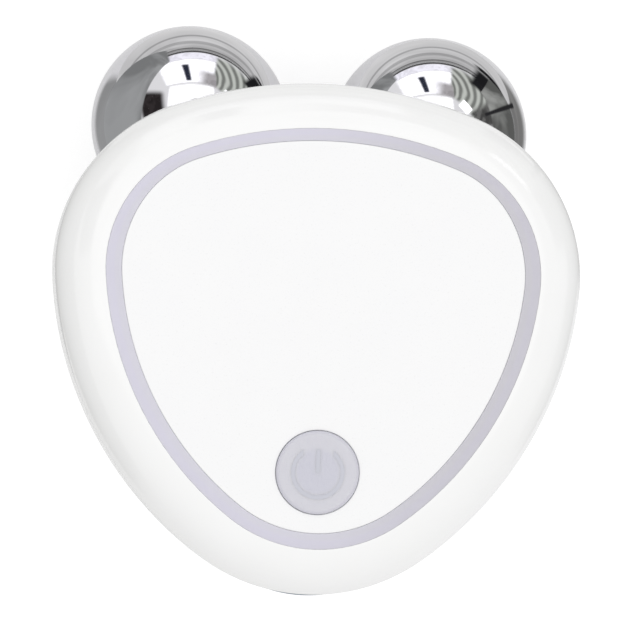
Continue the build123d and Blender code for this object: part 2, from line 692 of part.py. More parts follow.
# ---- Ball, bush and axle on each side ----
sleeve_front = -(cup_radius - AXLE_FLANGE_THICKNESS / 2)
flange_front = sleeve_front + AXLE_FLANGE_THICKNESS
thrust_front = flange_front + THRUST_THICKNESS
bush_back = thrust_front + THRUST_CLEARANCE
bush_front = bush_back + BUSH_LENGTH
clip_back = bush_front + CLIP_CLEARANCE
clip_front = clip_back + CLIP_THICKNESS
core_radius = ball_radius - BALL_WALL - CORE_FIT
terminal_back = -carrier_end - TERMINAL_THICKNESS


def turned(name, side, steps, bore):
    """Round piece on an axle: stacked (from, to, diameter) steps with one bore."""
    with BuildPart() as piece:
        for start, end, diameter in steps:
            with BuildSketch(axle_plane(side, start)):
                Circle(diameter / 2)
                if bore:
                    Circle(bore / 2, mode=Mode.SUBTRACT)
            extrude(amount=end - start)
    save(piece, name)


for name, side in SIDES:
    centre = Vector(side * ball_spacing / 2, ball_y, ball_z)
    with BuildPart() as ball:
        with Locations(centre):
            Sphere(ball_radius)
            Sphere(ball_radius - BALL_WALL, mode=Mode.SUBTRACT)
        with BuildSketch(axle_plane(side, -BALL_DIAMETER)):
            Circle(BUSH_DIAMETER / 2 + MOUTH_CLEARANCE)
        extrude(amount=BALL_DIAMETER, mode=Mode.SUBTRACT)
    save(ball, f"{name}_ball")

    with BuildPart() as core:
        with Locations(centre):
            Sphere(core_radius)
        with BuildSketch(axle_plane(side, -BALL_DIAMETER)):
            Circle(BUSH_DIAMETER / 2 + BUSH_PRESS_FIT)
        extrude(amount=BALL_DIAMETER + AXLE_OUTER + THRUST_CLEARANCE, mode=Mode.SUBTRACT)
    save(core, f"{name}_ball_core")

    turned(
        f"{name}_bush",
        side,
        [(bush_back, bush_front, BUSH_DIAMETER)],
        AXLE_DIAMETER + 2 * BUSH_RUNNING_FIT,
    )
    turned(
        f"{name}_axle",
        side,
        [
            (-axle_inner, clip_back, AXLE_DIAMETER),
            (clip_back, clip_front, AXLE_DIAMETER - 2 * GROOVE_DEPTH),
            (clip_front, AXLE_OUTER, AXLE_DIAMETER),
            (sleeve_front, flange_front, AXLE_FLANGE_DIAMETER),
        ],
        0,
    )
    turned(
        f"{name}_clip",
        side,
        [(clip_back, clip_front, CLIP_DIAMETER)],
        AXLE_DIAMETER - 2 * GROOVE_DEPTH,
    )
    turned(
        f"{name}_thrust_washer",
        side,
        [(flange_front, thrust_front, BUSH_DIAMETER)],
        AXLE_DIAMETER + 2 * BUSH_RUNNING_FIT,
    )
    turned(f"{name}_sleeve", side, [(-carrier_end, sleeve_front, SLEEVE_DIAMETER)], AXLE_DIAMETER)
    turned(
        f"{name}_terminal",
        side,
        [(terminal_back, -carrier_end, TERMINAL_DIAMETER)],
        AXLE_DIAMETER,
    )

    with BuildPart() as nut:
        with BuildSketch(axle_plane(side, terminal_back)):
            RegularPolygon(NUT_ACROSS_FLATS / 2, 6, major_radius=False)
            Circle(AXLE_DIAMETER / 2, mode=Mode.SUBTRACT)
        extrude(amount=-NUT_HEIGHT)
    save(nut, f"{name}_axle_nut")

    # Lead from the rim of the terminal straight up to the main board.
    terminal = axle_plane(side, terminal_back - LEAD_DIAMETER / 2)
    rise = (Vector(0, 0, 1) - terminal.z_dir * terminal.z_dir.Z).normalized()
    solder = terminal.origin + rise * (TERMINAL_DIAMETER + LEAD_DIAMETER) / 2
    with BuildPart() as electrode_lead:
        with BuildSketch(Plane(origin=solder)):
            Circle(LEAD_DIAMETER / 2)
        extrude(amount=board_bottom - solder.Z)
    save(electrode_lead, f"{name}_electrode_lead")

# ---- Battery leads and the ribbon from the charging port ----
battery_end = battery_y + BATTERY_LENGTH / 2
lead_y = battery_end + LEAD_BEND + LEAD_DIAMETER
lead_z = BATTERY_BASE + BATTERY_HEIGHT / 2

for name, side in (("negative", -1), ("positive", 1)):
    x = side * BATTERY_LEAD_SPACING / 2
    with BuildPart() as battery_lead:
        with BuildLine():
            FilletPolyline(
                (x, battery_end, lead_z),
                (x, lead_y, lead_z),
                (x, lead_y, board_bottom),
                radius=LEAD_BEND,
            )
        with BuildSketch(Plane(origin=(x, battery_end, lead_z), z_dir=(0, 1, 0))):
            Circle(LEAD_DIAMETER / 2)
        sweep()
    save(battery_lead, f"battery_lead_{name}")

ribbon_start = port_board_front + PORT_BOARD_LENGTH
ribbon_y = ribbon_start + LEAD_BEND + RIBBON_THICKNESS
ribbon_z = port_board_top - BOARD_THICKNESS / 2

with BuildPart() as port_ribbon:
    with BuildSketch(Plane.YZ.offset(-RIBBON_WIDTH / 2)):
        with BuildLine():
            FilletPolyline(
                (ribbon_start, ribbon_z),
                (ribbon_y, ribbon_z),
                (ribbon_y, board_bottom),
                radius=LEAD_BEND,
            )
        trace(line_width=RIBBON_THICKNESS)
    extrude(amount=RIBBON_WIDTH)
save(port_ribbon, "port_ribbon")
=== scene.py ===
import json
import logging
import math
from dataclasses import dataclass, field
from enum import Enum
from functools import cached_property

import bmesh
import bpy
from mathutils import Matrix, Vector


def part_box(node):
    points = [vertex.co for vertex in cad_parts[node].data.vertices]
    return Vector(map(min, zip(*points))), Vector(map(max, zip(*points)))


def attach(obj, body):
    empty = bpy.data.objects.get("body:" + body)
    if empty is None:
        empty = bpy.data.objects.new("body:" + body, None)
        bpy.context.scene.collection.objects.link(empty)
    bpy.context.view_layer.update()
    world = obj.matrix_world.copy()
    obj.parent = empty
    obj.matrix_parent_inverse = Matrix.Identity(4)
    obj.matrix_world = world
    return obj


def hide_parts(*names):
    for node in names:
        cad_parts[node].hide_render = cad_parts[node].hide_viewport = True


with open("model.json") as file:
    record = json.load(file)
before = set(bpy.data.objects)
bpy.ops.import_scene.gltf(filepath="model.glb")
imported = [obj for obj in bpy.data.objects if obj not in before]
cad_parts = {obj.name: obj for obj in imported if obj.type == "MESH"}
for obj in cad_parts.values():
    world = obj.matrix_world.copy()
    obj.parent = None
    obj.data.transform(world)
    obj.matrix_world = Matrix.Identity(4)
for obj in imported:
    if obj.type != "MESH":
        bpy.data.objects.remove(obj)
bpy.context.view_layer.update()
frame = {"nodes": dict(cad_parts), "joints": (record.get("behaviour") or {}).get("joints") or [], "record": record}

logging.basicConfig(level=logging.INFO, format="%(message)s")
log = logging.getLogger("toning_device")

Colour = tuple[float, float, float]
Point = tuple[float, float, float]
Span = tuple[float, float]
Stops = tuple[tuple[float, Colour], ...]
Options = tuple[tuple[str, object], ...]
BMesh = bmesh.types.BMesh
Socket = bpy.types.NodeSocket
Tree = bpy.types.NodeTree

MM = 0.001
WHITE = (1.0, 1.0, 1.0)
X_AXIS = (1.0, 0.0, 0.0)
Z_AXIS = (0.0, 0.0, 1.0)
FULL_TURN = 2 * math.pi
WELD = 1e-7  # points closer than this become one, in metres
SEAM_WELD = 1e-6  # the same along the seams of a swept piece
BEARING_SLACK = 0.01  # overlap of neighbouring arcs of the outline, in degrees
NOISE_SPAN = (0.3, 0.7)  # where nearly all values of a noise pattern lie
CLOUD_DETAIL = 3.0
GRAIN_DETAIL = 4.0
GLOW_WEIGHT = 0.6  # share of the light that passes into translucent plastic
THINNEST_FADE = 1e-4  # soft edge of a card that is meant to end sharply


class Side(Enum):
    """Which of the two rollers a piece belongs to, as the nodes spell it."""

    LEFT = "left"
    RIGHT = "right"


class Body(Enum):
    """The bodies that new pieces ride on."""

    HANDSET = "handset"
    LEFT_ROLLER = "left_roller"
    RIGHT_ROLLER = "right_roller"


class Soften(Enum):
    """What a bevel rounds off."""

    CORNERS = "VERTICES"
    EDGES = "EDGES"


# --- Small mesh helpers ---
def wire(bm: BMesh, points: list[Point], closed: bool) -> list:
    """Join points by edges, in order.

    Args:
        bm: The mesh that takes the points.
        points: Corners of the line.
        closed: Whether the last point joins the first.

    Returns:
        The new vertices and edges.
    """
    verts = [bm.verts.new(p) for p in points]
    pairs = list(zip(verts, verts[1:]))
    if closed:
        pairs.append((verts[-1], verts[0]))
    return verts + [bm.edges.new(pair) for pair in pairs]


def soften(bm: BMesh, geometry: list, radius: float, segments: int, what: Soften) -> None:
    """Round corners of a wire, or edges between faces, to an arc.

    Args:
        bm: The mesh that holds them.
        geometry: The corners or edges.
        radius: Radius of the arc, in metres.
        segments: Straight stretches along the arc.
        what: Whether corners or edges are rounded.
    """
    bmesh.ops.bevel(
        bm, geom=geometry, offset=radius, offset_type="OFFSET", segments=segments,
        profile=0.5, affect=what.value, material=-1,
    )


def spin(bm: BMesh, geometry: list, centre: Point, axis: Point, angle: float, steps: int) -> list:
    """Turn geometry about an axis, closing it up where the turn is full.

    Args:
        bm: The mesh that holds the geometry.
        geometry: Vertices and edges to turn.
        centre: Point on the axis.
        axis: Direction of the axis.
        angle: How far to turn, in radians.
        steps: Number of steps on the way.

    Returns:
        The geometry at the end of the turn.
    """
    spun = bmesh.ops.spin(
        bm, geom=geometry, cent=centre, axis=axis, angle=angle, steps=steps,
        use_merge=math.isclose(angle, FULL_TURN), use_duplicate=False,
    )
    return spun["geom_last"]


def hang(name: str, data: bpy.types.ID) -> bpy.types.Object:
    """Put a mesh, lamp or camera into the scene.

    Args:
        name: Name of the object.
        data: The mesh, lamp or camera.

    Returns:
        The object that holds it.
    """
    holder = bpy.data.objects.new(name, data)
    bpy.context.scene.collection.objects.link(holder)
    return holder


def finished(bm: BMesh, name: str, sharp: float = 35.0) -> bpy.types.Object:
    """Turn a mesh into a smooth-shaded object with its faces outward.

    Args:
        bm: The finished mesh, which is freed.
        name: Name of the piece.
        sharp: Angle in degrees above which an edge stays sharp.

    Returns:
        The new object, at the origin.
    """
    bmesh.ops.remove_doubles(bm, verts=bm.verts, dist=WELD)
    bmesh.ops.recalc_face_normals(bm, faces=bm.faces)
    mesh = bpy.data.meshes.new(name)
    bm.to_mesh(mesh)
    bm.free()
    mesh.shade_smooth()
    mesh.set_sharp_from_angle(angle=math.radians(sharp))
    return hang(name, mesh)


# --- Small node helpers ---
def opaque(colour: Colour, strength: float = 1.0) -> tuple[float, float, float, float]:
    """The colour with full cover, made brighter or darker."""
    return (*(strength * c for c in colour), 1.0)


def fill(tree: Tree, node: bpy.types.Node, *slots: object, **named: object) -> None:
    """Give the inputs of a node their values or links.

    Args:
        tree: Node tree that holds the node.
        node: The node.
        slots: Its first inputs, in order: a value, or a socket to link.
        named: Inputs by name, with underscores for spaces.
    """
    inputs = dict(enumerate(slots))
    inputs.update((name.replace("_", " "), value) for name, value in named.items())
    for key, value in inputs.items():
        if isinstance(value, Socket):
            tree.links.new(value, node.inputs[key])
        else:
            node.inputs[key].default_value = value


def add_node(
    tree: Tree, kind: str, *slots: object,
    settings: Options = (), **named: object,
) -> bpy.types.Node:
    """Add a node and fill its inputs.

    Args:
        tree: Node tree that takes the node.
        kind: Its type, without the leading ShaderNode.
        slots: Its first inputs, in order.
        settings: Names and values of its own options, set before the inputs.
        named: Inputs by name, with underscores for spaces.

    Returns:
        The new node.
    """
    node = tree.nodes.new(f"ShaderNode{kind}")
    for option, value in settings:
        setattr(node, option, value)
    fill(tree, node, *slots, **named)
    return node


def calculate(tree: Tree, operation: str, *values: object) -> Socket:
    """Result of one sum on values or sockets."""
    return add_node(tree, "Math", *values, settings=(("operation", operation),)).outputs[0]


def coordinate(tree: Tree, source: str) -> Socket:
    """Where a point of the surface lies, on the Object or the UV coordinates."""
    return add_node(tree, "TexCoord").outputs[source]


def remap(
    tree: Tree, value: Socket, source: Span,
    target: Span = (0.0, 1.0), smooth: bool = False,
) -> Socket:
    """Move a value from one range to another, and hold it there.

    Args:
        tree: Node tree that takes the node.
        value: The value.
        source: Where it starts and ends.
        target: What those two ends become.
        smooth: Whether it eases in and out.

    Returns:
        The new value.
    """
    node = add_node(
        tree, "MapRange", settings=(("interpolation_type", "SMOOTHSTEP" if smooth else "LINEAR"),),
        Value=value, From_Min=source[0], From_Max=source[1], To_Min=target[0], To_Max=target[1],
    )
    return node.outputs["Result"]


def mix_colours(
    tree: Tree, share: object, first: object, second: object, blend: str = "MIX"
) -> Socket:
    """Blend two colours, each a value or a socket.

    Args:
        tree: Node tree that takes the node.
        share: How much of the second shows.
        first: First colour.
        second: Second colour.
        blend: How they are put together.

    Returns:
        The blended colour.
    """
    settings = (("data_type", "RGBA"), ("blend_type", blend))
    node = add_node(tree, "Mix", settings=settings, Factor=share, A=first, B=second)
    return node.outputs["Result"]


def colour_ramp(tree: Tree, value: Socket, stops: Stops) -> Socket:
    """Turn a value into a colour.

    Args:
        tree: Node tree that takes the ramp.
        value: The value, from 0 to 1.
        stops: Places and colours, from 0 to 1.

    Returns:
        The colour.
    """
    ramp = add_node(tree, "ValToRGB", Fac=value)
    elements = ramp.color_ramp.elements
    for place, colour in stops[1:-1]:
        elements.new(place).color = opaque(colour)
    elements[0].color = opaque(stops[0][1])
    elements[-1].color = opaque(stops[-1][1])
    return ramp.outputs["Color"]


def bare_material(name: str) -> bpy.types.Material:
    """Material with an empty node tree, whose glow isn't sampled as a lamp.

    Args:
        name: Name of the material.

    Returns:
        The material.
    """
    material = bpy.data.materials.new(name)
    material.cycles.emission_sampling = "NONE"
    material.use_nodes = True
    material.node_tree.nodes.clear()
    return material


# --- Finishes ---
class NodeBench:
    """Lays out the nodes of one material around its shader."""

    def __init__(self, name: str) -> None:
        """Start a material.

        Args:
            name: Name of the material.
        """
        self.material = bpy.data.materials.new(name)
        self.material.use_nodes = True
        self.tree = self.material.node_tree
        self.shader = self.tree.nodes["Principled BSDF"]
        self.place = coordinate(self.tree, "Object")

    def set(self, **values: object) -> None:
        """Set or link the shader's own sockets, with underscores for spaces."""
        fill(self.tree, self.shader, **values)

    def glow(self, depth: float) -> None:
        """Let light pass into the surface to a depth in metres."""
        self.set(Subsurface_Weight=GLOW_WEIGHT, Subsurface_Scale=depth, Subsurface_Radius=WHITE)

    def noise(
        self, size: float, detail: float, low: float, high: float, stretch: Point = WHITE
    ) -> tuple[Socket, Socket]:
        """Cloudy pattern with features about the given size.

        Args:
            size: Width of a feature, in metres.
            detail: Octaves of finer pattern.
            low: What its low values become.
            high: What its high values become.
            stretch: How much each axis is squeezed.

        Returns:
            The raw pattern, and the pattern between low and high.
        """
        place = add_node(self.tree, "Mapping", Vector=self.place, Scale=stretch)
        pattern = add_node(
            self.tree, "TexNoise", Vector=place.outputs["Vector"], Scale=1.0 / size, Detail=detail
        )
        raw = pattern.outputs["Fac"]
        return raw, remap(self.tree, raw, NOISE_SPAN, (low, high))

    def tint(self, size: float, first: Colour, second: Colour) -> None:
        """Let the base colour drift between two shades, in clouds of a size in metres."""
        _, share = self.noise(size, CLOUD_DETAIL, 0.0, 1.0)
        self.set(Base_Color=mix_colours(self.tree, share, opaque(first), opaque(second)))

    def texture(
        self, size: float, roughness: Span, depth: float, strength: float, stretch: Point = WHITE
    ) -> None:
        """Give the surface a fine grain, in its polish and in its height.

        Args:
            size: Width of a grain, in metres.
            roughness: Smoothest and roughest spot.
            depth: Height of the grain, in metres.
            strength: How much of that height shows.
            stretch: How much each axis is squeezed.
        """
        grain, polish = self.noise(size, GRAIN_DETAIL, *roughness, stretch)
        relief = add_node(self.tree, "Bump", Distance=depth, Strength=strength, Height=grain)
        self.set(Roughness=polish, Normal=relief.outputs["Normal"])


@dataclass(frozen=True)
class Finish:
    """A surface as a maker would order it, with fine variation all over."""

    slot: str
    colour: Colour
    second: Colour
    roughness: Span
    cloud: float = 6.0 * MM
    grain: float = 0.25 * MM
    grain_depth: float = 0.004 * MM
    grain_strength: float = 0.15
    stretch: Point = WHITE
    metallic: float = 0.0
    coat: float = 0.0
    coat_roughness: float = 0.05
    glow_depth: float = 0.0
    ior: float = 1.5

    def material(self) -> bpy.types.Material:
        """Build the finish as a node material.

        Returns:
            The material, named after its slot.
        """
        bench = NodeBench(self.slot)
        bench.set(Metallic=self.metallic, IOR=self.ior)
        bench.set(Coat_Weight=self.coat, Coat_Roughness=self.coat_roughness)
        if self.glow_depth:
            bench.glow(self.glow_depth)
        bench.tint(self.cloud, self.colour, self.second)
        bench.texture(
            self.grain, self.roughness, self.grain_depth, self.grain_strength, self.stretch
        )
        return bench.material


# Each finish gives its slot, two shades and the roughness between which it drifts.
FINISHES: tuple[Finish, ...] = (
    Finish(
        "housing_white", (0.940, 0.940, 0.938), (0.932, 0.932, 0.928), (0.09, 0.12),
        grain=0.8 * MM, grain_depth=0.002 * MM, grain_strength=0.03,
    ),
    Finish(
        "face_white", (0.930, 0.930, 0.932), (0.922, 0.922, 0.926), (0.26, 0.34),
        grain_strength=0.08,
    ),
    Finish(
        "ring_lens", (0.690, 0.676, 0.755), (0.682, 0.670, 0.746), (0.25, 0.265),
        cloud=9.0 * MM, grain=1.0 * MM, grain_strength=0.02, glow_depth=0.35 * MM,
    ),
    Finish(
        "button_lens", (0.655, 0.645, 0.74), (0.635, 0.63, 0.715), (0.28, 0.36),
        glow_depth=0.6 * MM,
    ),
    Finish(
        "symbol_grey", (0.570, 0.576, 0.640), (0.560, 0.566, 0.630), (0.32, 0.40),
        grain_strength=0.06,
    ),
    Finish(
        "ball_chrome", (0.70, 0.695, 0.72), (0.68, 0.675, 0.70), (0.03, 0.05),
        grain=0.5 * MM, grain_depth=0.0005 * MM, grain_strength=0.04, metallic=1.0,
    ),
    Finish(
        "steel", (0.60, 0.60, 0.61), (0.52, 0.52, 0.53), (0.20, 0.36),
        grain=0.6 * MM, stretch=(1.0, 1.0, 9.0), grain_depth=0.01 * MM, metallic=1.0,
    ),
    Finish("contact_brass", (0.78, 0.58, 0.25), (0.66, 0.47, 0.18), (0.22, 0.38), metallic=1.0),
    Finish("acetal_white", (0.80, 0.79, 0.75), (0.76, 0.75, 0.71), (0.35, 0.48)),
    Finish("carrier_grey", (0.13, 0.135, 0.14), (0.10, 0.105, 0.11), (0.45, 0.62), grain=0.4 * MM),
    Finish("seal_grey", (0.30, 0.31, 0.32), (0.26, 0.27, 0.28), (0.60, 0.75)),
    Finish("bezel_blue", (0.105, 0.15, 0.205), (0.085, 0.125, 0.175), (0.30, 0.42)),
    Finish(
        "board_green", (0.012, 0.095, 0.045), (0.010, 0.075, 0.035), (0.20, 0.34),
        cloud=2.0 * MM, coat=0.4,
    ),
    Finish("led_white", (0.80, 0.76, 0.50), (0.86, 0.84, 0.72), (0.25, 0.40), cloud=1.0 * MM),
    Finish(
        "chip_black", (0.020, 0.020, 0.022), (0.028, 0.028, 0.030), (0.45, 0.60), grain=0.1 * MM
    ),
    Finish("coil_grey", (0.055, 0.055, 0.058), (0.075, 0.074, 0.072), (0.50, 0.68)),
    Finish("capacitor_tan", (0.36, 0.24, 0.13), (0.42, 0.29, 0.17), (0.35, 0.50), cloud=1.5 * MM),
    Finish(
        "battery_foil", (0.62, 0.63, 0.65), (0.54, 0.55, 0.57), (0.24, 0.42),
        cloud=4.0 * MM, grain=1.2 * MM, grain_depth=0.06 * MM, metallic=1.0,
    ),
    Finish(
        "foam_grey", (0.10, 0.10, 0.105), (0.07, 0.07, 0.075), (0.80, 0.95),
        grain=0.5 * MM, grain_depth=0.1 * MM,
    ),
    Finish("lead_black", (0.018, 0.018, 0.018), (0.026, 0.026, 0.026), (0.38, 0.50)),
    Finish("lead_red", (0.42, 0.018, 0.014), (0.36, 0.014, 0.011), (0.38, 0.50)),
    Finish(
        "ribbon_amber", (0.42, 0.19, 0.035), (0.50, 0.25, 0.055), (0.22, 0.36),
        stretch=(8.0, 1.0, 1.0),
    ),
)


class Finishes:
    """Every finish by its slot, each built once."""

    def __init__(self) -> None:
        """Build all the materials."""
        self.by_slot = {finish.slot: finish.material() for finish in FINISHES}

    def dress_frame(self) -> None:
        """Give each node of the frame the material of its slot."""
        for part in frame["record"]["subparts"]:
            mesh = frame["nodes"][part["node"]].data
            mesh.materials.clear()
            mesh.materials.append(self.by_slot[part["material_slot"]])

    def dress(self, piece: bpy.types.Object, slot: str, body: Body, *nodes: str) -> None:
        """Finish a new piece and tie it to the frame.

        Args:
            piece: The new piece.
            slot: Material slot it takes.
            body: Body it moves with.
            nodes: Nodes that it stands for.
        """
        piece.data.materials.append(self.by_slot[slot])
        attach(piece, body.value)
        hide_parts(*nodes)
        log.info("%s rides on %s for %s", piece.name, body.value, ", ".join(nodes))


# --- Outline shared by the shells, the light ring and the face plate ---
@dataclass(frozen=True)
class Arc:
    """One arc of the outline, run from its first to its last bearing, in degrees."""

    centre: Span
    radius: float
    first: float
    last: float


def crossing(a: Span, ra: float, b: Span, rb: float) -> Span:
    """Where two circles cross, to the left of the line from the first centre to the second.

    Args:
        a: Centre of the first circle.
        ra: Its radius.
        b: Centre of the second circle.
        rb: Its radius.

    Returns:
        The point where they cross.
    """
    span = math.dist(a, b)
    along = (span**2 + ra**2 - rb**2) / (2 * span)
    aside = math.sqrt(ra**2 - along**2)
    ux, uy = (b[0] - a[0]) / span, (b[1] - a[1]) / span
    return (a[0] + along * ux - aside * uy, a[1] + along * uy + aside * ux)


def bearing(a: Span, b: Span) -> float:
    """Angle of the line from one point to another, in degrees."""
    return math.degrees(math.atan2(b[1] - a[1], b[0] - a[0]))


@dataclass(frozen=True)
class Outline:
    """Rounded triangle of tangent arcs that the handset's edge follows."""

    head_radius: float = 53.5 * MM
    corner_radius: float = 21.2 * MM
    side_radius: float = 46.0 * MM
    tip_radius: float = 23.2 * MM
    step: float = 0.6 * MM
    fewest_steps: int = 4
    shift: float = 0.42 * MM
    shift_range: Span = (2.0 * MM, 16.0 * MM)

    @cached_property
    def head_y(self) -> float:
        """Where the edge crosses the middle at the head."""
        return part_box("front_shell")[1][1]

    @cached_property
    def arcs(self) -> tuple[Arc, ...]:
        """The right half of the edge.

        Returns:
            Its arcs, from the head to the tip.
        """
        low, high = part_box("front_shell")
        half_width = (high[0] - low[0]) / 2
        head = (0.0, self.head_y - self.head_radius)
        corner_x = half_width - self.corner_radius
        rise = math.sqrt((self.head_radius - self.corner_radius) ** 2 - corner_x**2)
        corner = (corner_x, head[1] + rise)
        tip = (0.0, low[1] + self.tip_radius)
        side = crossing(
            tip, self.side_radius - self.tip_radius, corner, self.side_radius - self.corner_radius
        )
        head_end = bearing(head, corner)
        corner_end = bearing(side, corner)
        side_end = bearing(side, tip)
        return (
            Arc(head, self.head_radius, 90.0, head_end),
            Arc(corner, self.corner_radius, head_end, corner_end),
            Arc(side, self.side_radius, corner_end, side_end),
            Arc(tip, self.tip_radius, side_end, -90.0),
        )

    def sweep(self, bm: BMesh, profile: list) -> None:
        """Run a profile all round the handset.

        Args:
            bm: The mesh that holds the profile.
            profile: Its vertices and edges, in the plane of symmetry at the head.
        """
        geometry = profile
        for arc in self.arcs:
            turn = math.radians(arc.last - arc.first)
            steps = max(self.fewest_steps, round(abs(turn) * arc.radius / self.step))
            geometry = spin(bm, geometry, (*arc.centre, 0.0), Z_AXIS, turn, steps)
        everything = bm.verts[:] + bm.edges[:] + bm.faces[:]
        bmesh.ops.mirror(bm, geom=everything, axis="X", merge_dist=SEAM_WELD)
        bmesh.ops.remove_doubles(bm, verts=bm.verts, dist=SEAM_WELD)

    def inset_of(self, x: float, y: float) -> float:
        """How far a point lies inside the edge.

        Args:
            x: Place across the face.
            y: Place along the face.

        Returns:
            The shortest distance to the edge, in metres.
        """
        for arc in self.arcs:
            turn = bearing(arc.centre, (abs(x), y))
            if arc.last - BEARING_SLACK <= turn <= arc.first + BEARING_SLACK:
                return arc.radius - math.dist(arc.centre, (abs(x), y))
        return 0.0

    def at(self, inset: float, z: float) -> Point:
        """Point of a profile at the head, inset from the edge."""
        return (0.0, self.head_y - inset, z)

    def head_shift(self, y: float) -> float:
        """How far the joint of ring and plate moves to the head, so that the ring is slimmer there.

        Args:
            y: Place along the face.

        Returns:
            The move, easing in over the shift's range.
        """
        low, high = self.shift_range
        share = min(max((y - low) / (high - low), 0.0), 1.0)
        return self.shift * share * share * (3.0 - 2.0 * share)


# --- Face: light ring, plate and button ---
@dataclass
class LightRing:
    """Translucent ring, set flush in the face, with softly crowned edges."""

    finishes: Finishes
    outline: Outline
    inset: float = 5.81 * MM
    width: float = 1.91 * MM
    edge: float = 0.06 * MM
    edge_segments: int = 6
    ledge: float = 2.5 * MM
    ledge_depth: float = 1.2 * MM
    ledge_height: float = 1.2 * MM
    # Across the ring: a lilac outer half and a neutral inner half, its own colours, with painted shade at both
    # edges (the first and last stops).
    bands: Stops = (
        (0.0, (0.95, 0.95, 0.95)),
        (0.07, (0.99, 0.985, 1.0)),
        (0.46, (0.985, 0.98, 1.0)),
        (0.66, (0.985, 0.985, 0.975)),
        (0.92, (0.98, 0.98, 0.972)),
        (1.0, (0.95, 0.96, 0.95)),
    )
    # Painted shade: colour that darkens the lens towards its right side, over this range of X.
    painted_shade: Colour = (0.885, 0.885, 0.86)
    painted_shade_range: Span = (-6.0 * MM, 20.0 * MM)

    def build(self) -> None:
        """Sweep the ring's section, with the ledge that carries the plate."""
        low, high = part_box("light_ring")
        top, foot = high[2], low[2]
        inner = self.inset + self.width
        reach = inner + self.ledge
        ledge_top = top - self.ledge_depth
        ledge_foot = ledge_top - self.ledge_height
        section = (
            (self.inset, top), (inner, top), (inner, ledge_top), (reach, ledge_top),
            (reach, ledge_foot), (inner, ledge_foot), (inner, foot), (self.inset, foot),
        )
        bm = bmesh.new()
        profile = wire(bm, [self.outline.at(*corner) for corner in section], closed=True)
        for corner in profile[:2]:
            soften(bm, [corner], self.edge, self.edge_segments, Soften.CORNERS)
        self.outline.sweep(bm, bm.verts[:] + bm.edges[:])
        piece = finished(bm, "light_ring_lens")
        self.slim(piece.data)
        self.shade(self.finishes.by_slot["ring_lens"])
        self.finishes.dress(piece, "ring_lens", Body.HANDSET, "light_ring")

    def slim(self, mesh: bpy.types.Mesh) -> None:
        """Note how far across the ring each point lies, and slim the ring along the head.

        Args:
            mesh: The ring's mesh, which gains the attribute across.
        """
        across = mesh.attributes.new("across", "FLOAT", "POINT")
        for index, vert in enumerate(mesh.vertices):
            share = (self.outline.inset_of(vert.co.x, vert.co.y) - self.inset) / self.width
            across.data[index].value = share
            vert.co.y += self.outline.head_shift(vert.co.y) * min(max(share, 0.0), 1.0)

    def shade(self, material: bpy.types.Material) -> None:
        """Paint shade on the lens along both edges and towards its right side.

        Args:
            material: The lens material, which keeps its own cloudiness.
        """
        tree = material.node_tree
        shader = tree.nodes["Principled BSDF"]
        cloud = shader.inputs["Base Color"].links[0].from_socket
        across = add_node(tree, "Attribute", settings=(("attribute_name", "across"),))
        bands = colour_ramp(tree, across.outputs["Fac"], self.bands)
        banded = mix_colours(tree, 1.0, cloud, bands, "MULTIPLY")
        # Painted shade, darker towards the right side of the lens, by its Object X.
        axes = add_node(tree, "SeparateXYZ", coordinate(tree, "Object"))
        reach = remap(tree, axes.outputs["X"], self.painted_shade_range, smooth=True)
        painted_shade = mix_colours(tree, reach, opaque(WHITE), opaque(self.painted_shade))
        fill(tree, shader, Base_Color=mix_colours(tree, 1.0, banded, painted_shade, "MULTIPLY"))


@dataclass
class PowerButton:
    """Round translucent button with its inlaid power sign, deeper at the centre, with painted shade at the rim."""

    finishes: Finishes
    radius: float = 5.05 * MM
    glow_depth: float = 0.6 * MM
    grain: float = 0.25 * MM
    grain_depth: float = 0.004 * MM
    grain_strength: float = 0.15
    roughness: Span = (0.28, 0.36)
    # Own tint of the cap, deeper inside the sign's ring, then painted shade at the rim (the last stop).
    tint_and_rim_shade: Stops = (
        (0.0, (0.625, 0.624, 0.694)),
        (0.48, (0.625, 0.624, 0.694)),
        (0.60, (0.664, 0.660, 0.712)),
        (0.90, (0.670, 0.665, 0.712)),
        (1.0, (0.560, 0.556, 0.620)),
    )

    def centre(self) -> Point:
        """Middle of the button's face."""
        low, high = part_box("power_button")
        return ((low[0] + high[0]) / 2, (low[1] + high[1]) / 2, high[2])

    def build(self) -> None:
        """Give the cap its own tint, with painted shade at its rim."""
        cap = frame["nodes"]["power_button"]
        cap.data.materials.clear()
        cap.data.materials.append(self.cap_material())
        # The radial tint logged here holds painted shade at the cap's rim.
        log.info("power_button keeps its shape and takes a radial tint")

    def cap_material(self) -> bpy.types.Material:
        """Translucent plastic whose tint deepens inside the sign's ring, with painted shade at the rim.

        Returns:
            The material of the cap.
        """
        bench = NodeBench("button_cap")
        bench.set(IOR=1.5)
        bench.glow(self.glow_depth)
        tree = bench.tree
        middle = tuple(-c for c in self.centre())
        shift = add_node(tree, "Mapping", Vector=bench.place, Location=middle)
        flat = add_node(
            tree, "VectorMath", shift.outputs[0], (1.0, 1.0, 0.0),
            settings=(("operation", "MULTIPLY"),),
        )
        length = add_node(
            tree, "VectorMath", flat.outputs[0], settings=(("operation", "LENGTH"),)
        )
        share = calculate(tree, "DIVIDE", length.outputs["Value"], self.radius)
        bench.set(Base_Color=colour_ramp(tree, share, self.tint_and_rim_shade))
        bench.texture(self.grain, self.roughness, self.grain_depth, self.grain_strength)
        return bench.material


